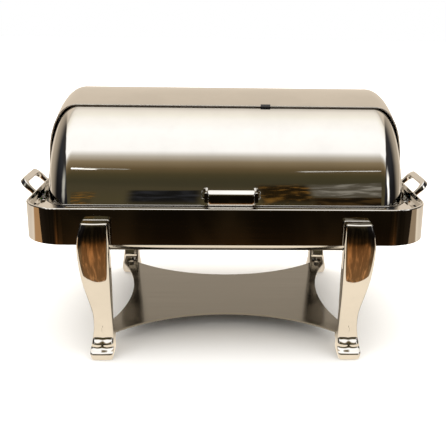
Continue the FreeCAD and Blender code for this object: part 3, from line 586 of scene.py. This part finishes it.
def cover_outline(half, shoulder, radius, first):
    """A cover's edge as (X, radius) pairs, from low on its right end to where it runs straight.
    The first steps of the curve are left out where they are out of sight."""
    poles = [(half, END_RADII[0]), (half, END_RADII[1]),
             (half - shoulder + SHOULDER_FULLNESS, radius), (half - shoulder, radius)]
    line = []
    for step in range(first, CURVE_STEPS + 1):
        part = step / CURVE_STEPS
        left = 1 - part
        weights = [left ** 3, 3 * part * left ** 2, 3 * part ** 2 * left, part ** 3]
        line.append(tuple(sum(weight * pole[axis] for weight, pole in zip(weights, poles))
                          for axis in (0, 1)))
    return line


def edge_bead(line, degrees, bead, inset):
    """A round bead, sunk by an inset, along a cover's edge that lies so many degrees forward of
    straight up."""
    angle = math.radians(degrees)
    away = Vector((0, -math.sin(angle), math.cos(angle)))
    path = [tuple(Vector((x, 0, PIVOT_HEIGHT)) + away * (r - inset)) for x, r in line]
    upright = Vector((0, math.cos(angle), math.sin(angle)))
    ring = arc_points((0, 0), bead, 0, 345, 15)
    return swept(path, upright, lambda part: ring)


def make_cover_beads():
    """The wired edge along the front cover's hem, and the rolled edge of the rear cover, which
    stops at the pad."""
    half = -corner_of("front_cover", (0, 0, 0))[0]
    line = cover_outline(half, FRONT_SHOULDER, cover_radius(), 13)
    line += [((half - FRONT_SHOULDER) * (1 - step / 8), cover_radius()) for step in range(1, 9)]
    line += [(-x, r) for x, r in reversed(line[:-1])]
    new_piece("front_cover_hem", [edge_bead(line, HEM_ANGLE, 0.95, 0.6)], BAND,
              "front_cover")

    gap = 0.3
    half = -corner_of("rear_cover", (0, 0, 0))[0]
    line = cover_outline(half, REAR_SHOULDER, REAR_RADIUS, 2)
    pad_left, pad_right = corner_of("edge_pad", (0, 0, 0))[0], corner_of("edge_pad", (1, 0, 0))[0]
    right = line + [(pad_right + gap, REAR_RADIUS)]
    left = [(-x, r) for x, r in line] + [(pad_left - gap, REAR_RADIUS)]
    beads = [edge_bead(line, REAR_EDGE_ANGLE, 1.2, 0.85) for line in (right, left)]
    new_piece("rear_cover_edge", beads, EDGE, "frame")


# ---------------------------------------------------------------- studio

WALL = (204, 189, 169)
# The room as the steel shows it, by its angle in degrees above straight ahead: 90 is overhead and
# 180 is behind, and angles below 0 run down and under.
ROOM_ARC = [
    (-180, WALL), (-120, (190, 172, 148)), (-60, (170, 128, 86)), (-26, (156, 104, 60)),
    (-20.2, (110, 68, 32)), (-18.2, (36, 24, 11)), (-16, (22, 16, 8)), (-7, (22, 18, 11)),
    (0, (58, 52, 38)), (8, (73, 65, 43)), (23, (67, 60, 42)), (29, (60, 55, 38)),
    (36, (70, 62, 40)), (42, (96, 80, 54)), (49, (132, 115, 88)), (55, (184, 175, 160)),
    (61, (256, 252, 246)), (84, (262, 258, 252)), (99, (254, 248, 238)), (106, (243, 236, 220)),
    (113, (230, 220, 206)), (119, (190, 181, 166)), (126, WALL), (180, WALL),
]
# The room's two sides, from straight down (0) to straight up (1).
ROOM_FLANK = [
    (0, (150, 130, 105)), (0.36, (120, 92, 62)), (0.40, (36, 27, 17)), (0.43, (20, 16, 12)),
    (0.52, (26, 25, 26)), (0.62, (44, 44, 46)), (0.75, (52, 47, 42)), (0.88, (96, 88, 76)),
    (1, (200, 190, 175)),
]


def studio_world():
    """A bright ceiling light, pale walls behind and a dim brown room on the camera's side."""
    world = bpy.data.worlds.new("studio")
    scene.world = world
    world.use_nodes = True
    graph = Graph(world.node_tree)
    direction = graph.add("ShaderNodeTexCoord").outputs["Generated"]
    split = graph.add("ShaderNodeSeparateXYZ")
    graph.put(split.inputs[0], direction)
    x, y, z = split.outputs
    front = graph.math("MULTIPLY", y, -1)
    turn = graph.math("ARCTAN2", z, front)
    fraction = graph.math("DIVIDE", graph.math("ADD", turn, math.pi), math.tau)
    arc = graph.ramp(fraction, [((degrees + 180) / 360, seen_in_steel(*seen))
                                for degrees, seen in ROOM_ARC])

    # The sides take over away from the middle, further out the higher the direction points.
    side = graph.math("ABSOLUTE", x)
    lifted = graph.math("MULTIPLY", graph.math("MAXIMUM", z, 0), 0.32)
    spread = graph.math("SUBTRACT", side, lifted)
    height = graph.math("ARCSINE", z)
    flank = graph.ramp(graph.between(height, -math.pi / 2, math.pi / 2, 0, 1),
                       [(place, seen_in_steel(*seen)) for place, seen in ROOM_FLANK])
    behind = graph.math("MULTIPLY", graph.smooth(front, -0.25, -0.80), 0.8)
    flank = graph.mix(behind, flank, seen_in_steel(178, 163, 142))
    at_side = graph.math("MULTIPLY", graph.smooth(spread, 0.47, 0.56),
                         graph.smooth(front, -0.90, -0.80))
    colour = graph.mix(at_side, arc, flank)

    # Upright streaks, low down in front.
    streak = graph.noise(graph.stretched(direction, (11, 11, 4)), 1, 3, 0.6, 0.4)
    low_front = graph.math("MULTIPLY", graph.smooth(front, 0.3, 0.6), graph.smooth(z, -0.02, -0.08))
    vertical = graph.mix(graph.smooth(streak, 0.46, 0.72), (0.45, 0.45, 0.43), (1.3, 1.25, 1.15))
    colour = graph.mix(low_front, colour, graph.mix(1, colour, vertical, "MULTIPLY"))

    # Behind the chafer itself the camera sees plain white.
    rays = graph.add("ShaderNodeLightPath")
    room = graph.add("ShaderNodeBackground")
    graph.put(room.inputs["Color"], colour)
    plain = graph.add("ShaderNodeBackground")
    plain.inputs["Color"].default_value = (1, 1, 1, 1)
    chosen = graph.add("ShaderNodeMixShader")
    graph.put(chosen.inputs[0], rays.outputs["Is Camera Ray"])
    graph.put(chosen.inputs[1], room.outputs[0])
    graph.put(chosen.inputs[2], plain.outputs[0])
    output = graph.add("ShaderNodeOutputWorld")
    graph.put(output.inputs["Surface"], chosen.outputs[0])


def staged_plane(name, low, high, material):
    """A flat rectangle through the origin that belongs to the studio."""
    mesh = bpy.data.meshes.new(name)
    corners = [(low[0], low[1]), (high[0], low[1]), (high[0], high[1]), (low[0], high[1])]
    mesh.from_pydata([(x, y, 0) for x, y in corners], [], [(0, 1, 2, 3)])
    mesh.materials.append(material)
    made = bpy.data.objects.new(name, mesh)
    scene.collection.objects.link(made)
    return made


def glow(name, colour, size=None, core=0.72):
    """A light of its own; with a width and height, it fades out from its core to its edges."""
    made = bpy.data.materials.new(name)
    made.use_nodes = True
    graph = Graph(made.node_tree)
    shader = graph.add("ShaderNodeEmission")
    graph.put(shader.inputs["Color"], colour(graph) if callable(colour) else (*colour, 1))
    output = graph.add("ShaderNodeOutputMaterial")
    if not size:
        graph.put(output.inputs["Surface"], shader.outputs[0])
        return made
    split = graph.add("ShaderNodeSeparateXYZ")
    graph.put(split.inputs[0], graph.add("ShaderNodeTexCoord").outputs["Object"])
    solid = []
    for axis, length in enumerate(size):
        distance = graph.math("ABSOLUTE", split.outputs[axis])
        solid.append(graph.smooth(distance, length / 2, length * core / 2))
    clear = graph.add("ShaderNodeBsdfTransparent")
    chosen = graph.add("ShaderNodeMixShader")
    graph.put(chosen.inputs[0], graph.math("MULTIPLY", *solid))
    graph.put(chosen.inputs[1], clear.outputs[0])
    graph.put(chosen.inputs[2], shader.outputs[0])
    graph.put(output.inputs["Surface"], chosen.outputs[0])
    return made


def only_reflected(made):
    made.visible_camera = False
    made.visible_diffuse = False
    made.visible_shadow = False
    made.visible_transmission = False
    made.visible_glossy = True


def studio_floor():
    """The floor that is seen, and the sheet of pale paper that the steel reflects."""
    made, graph, shader, place = new_material("pale_floor")
    mottle = graph.noise(place, 3, 3, 0.5)
    graph.put(shader.inputs["Base Color"],
              graph.mix(mottle, (0.93, 0.93, 0.92), (0.96, 0.96, 0.95)))
    shader.inputs["Roughness"].default_value = 0.9
    shader.inputs["Specular IOR Level"].default_value = 0
    floor = staged_plane("floor", (-14, -14), (14, 14), made)
    floor.visible_glossy = False

    def paper(graph):
        """Brown beyond the paper's two sides in front, and shaded under the chafer."""
        place = graph.add("ShaderNodeTexCoord").outputs["Object"]
        split = graph.add("ShaderNodeSeparateXYZ")
        graph.put(split.inputs[0], place)
        x, y, _ = split.outputs
        near = graph.smooth(y, 0.02, -0.08)
        left = graph.math("MULTIPLY", graph.smooth(x, -0.70, -0.82), near)
        right = graph.math("MULTIPLY", graph.smooth(x, 0.70, 0.82), near)
        lit = graph.mix(graph.smooth(y, -0.30, 0.30),
                        seen_in_steel(238, 221, 195), seen_in_steel(*WALL))
        lit = graph.mix(left, lit, seen_in_steel(165, 126, 85))
        lit = graph.mix(right, lit, seen_in_steel(141, 121, 97))
        under_x = graph.smooth(graph.math("ABSOLUTE", x), 0.40, 0.26)
        under_y = graph.smooth(graph.math("ABSOLUTE", y), 0.17, 0.09)
        shade = graph.math("MULTIPLY", under_x, under_y)
        return graph.mix(graph.math("MULTIPLY", shade, 0.96), lit, seen_in_steel(66, 56, 43))

    only_reflected(staged_plane("paper_sheet", (-1.5, -0.385), (1.5, 6), glow("lit_paper", paper)))


CARD_DISTANCE = 3


def card(name, seen_at, direction, width, height, colour, core=0.72):
    """A shape seen only in reflections: it lies in a direction from the point of the steel that
    shows it. Sizes are in metres."""
    aim = Vector(direction).normalized()
    across = aim.cross(Vector((0, 0, 1))).normalized()
    rise = across.cross(aim)
    made = staged_plane(name, (-width / 2, -height / 2), (width / 2, height / 2),
                        glow(name + "_glow", colour, (width, height), core))
    axes = Matrix((across, rise, -aim)).transposed()
    made.matrix_world = Matrix.Translation(Vector(seen_at) + aim * CARD_DISTANCE) @ axes.to_4x4()
    only_reflected(made)


def patchy(first, second, scale, low=0.45, high=0.6):
    """A colour for glow() that changes between two colours in soft patches."""
    def colour(graph):
        place = graph.add("ShaderNodeTexCoord").outputs["Object"]
        cloud = graph.noise(graph.stretched(place, scale), 1, 3, 0.6)
        return graph.mix(graph.smooth(cloud, low, high),
                         seen_in_steel(*first), seen_in_steel(*second))
    return colour


def studio_lights():
    """An even soft light from the whole sky, with bright and dark shapes only steel can see."""
    data = bpy.data.lights.new("soft_sky", "SUN")
    data.energy = 3.4
    data.angle = math.radians(160)
    sky = bpy.data.objects.new("soft_sky", data)
    scene.collection.objects.link(sky)
    sky.location = (0, 0, 3)
    sky.visible_glossy = False

    white = tuple(channel * 1.6 for channel in seen_in_steel(255, 250, 240))
    pale = seen_in_steel(176, 172, 160)
    card("lamp_left", (-0.229, -0.174, 0.304), (-0.182, -0.739, 0.648), 0.19, 0.07, white)
    card("lamp_left_tail", (-0.195, -0.174, 0.304), (-0.150, -0.739, 0.648), 0.30, 0.03, pale)
    card("lamp_right", (0.182, -0.175, 0.303), (0.168, -0.753, 0.637), 0.54, 0.035,
         tuple(channel * 0.45 for channel in white))
    card("window_left", (-0.296, -0.17, 0.25), (-0.86, -0.48, 0.26), 1.5, 2.1, pale, 0.15)
    card("window_right", (0.296, -0.17, 0.25), (0.88, -0.45, 0.26), 1.2, 2.1, white, 0.1)
    card("cabinet_left", (-0.09, -0.19, 0.26), (-0.075, -0.965, 0.235), 0.47, 0.74,
         patchy((22, 21, 20), (40, 40, 42), (5, 5, 3)))
    card("cabinet_right", (0.10, -0.19, 0.27), (0.088, -0.945, 0.30), 0.33, 1.25,
         patchy((30, 22, 10), (120, 84, 34), (9, 9, 5), 0.5, 0.62))
    card("curtain_right", (0.20, -0.19, 0.27), (0.178, -0.92, 0.35), 0.50, 0.90,
         patchy((78, 72, 60), (128, 122, 110), (5, 5, 1.5)))
    card("chest_right", (0.20, -0.19, 0.27), (0.178, -0.97, 0.15), 0.52, 0.56,
         patchy((26, 19, 10), (60, 44, 22), (5, 5, 3)))
    card("chair_left", (-0.225, -0.19, 0.26), (-0.184, -0.955, 0.215), 0.15, 0.62,
         patchy((62, 55, 36), (120, 84, 34), (14, 14, 7)))


def camera():
    """The camera at the photograph's viewing angle, with its turns in radians."""
    data = bpy.data.cameras.new("camera")
    data.sensor_width = 36
    data.lens = 58.94
    data.shift_x = -0.0457
    data.shift_y = 0.0123
    made = bpy.data.objects.new("camera", data)
    scene.collection.objects.link(made)
    yaw, pitch, roll = 0.0368, 0.2874, 0.0146
    ahead = Vector((math.sin(yaw) * math.cos(pitch), math.cos(yaw) * math.cos(pitch),
                    -math.sin(pitch)))
    level = Vector((math.cos(yaw), -math.sin(yaw), 0))
    above = level.cross(ahead)
    right = level * math.cos(roll) + above * math.sin(roll)
    top = above * math.cos(roll) - level * math.sin(roll)
    axes = Matrix((right, top, -ahead)).transposed()
    made.matrix_world = Matrix.Translation((-0.0148, -1.3067, 0.5426)) @ axes.to_4x4()
    scene.camera = made


finish_cad_nodes()
make_legs()
make_side_handles()
make_grip()
make_cover_beads()
studio_world()
studio_floor()
studio_lights()
camera()
scene.view_settings.view_transform = "Standard"
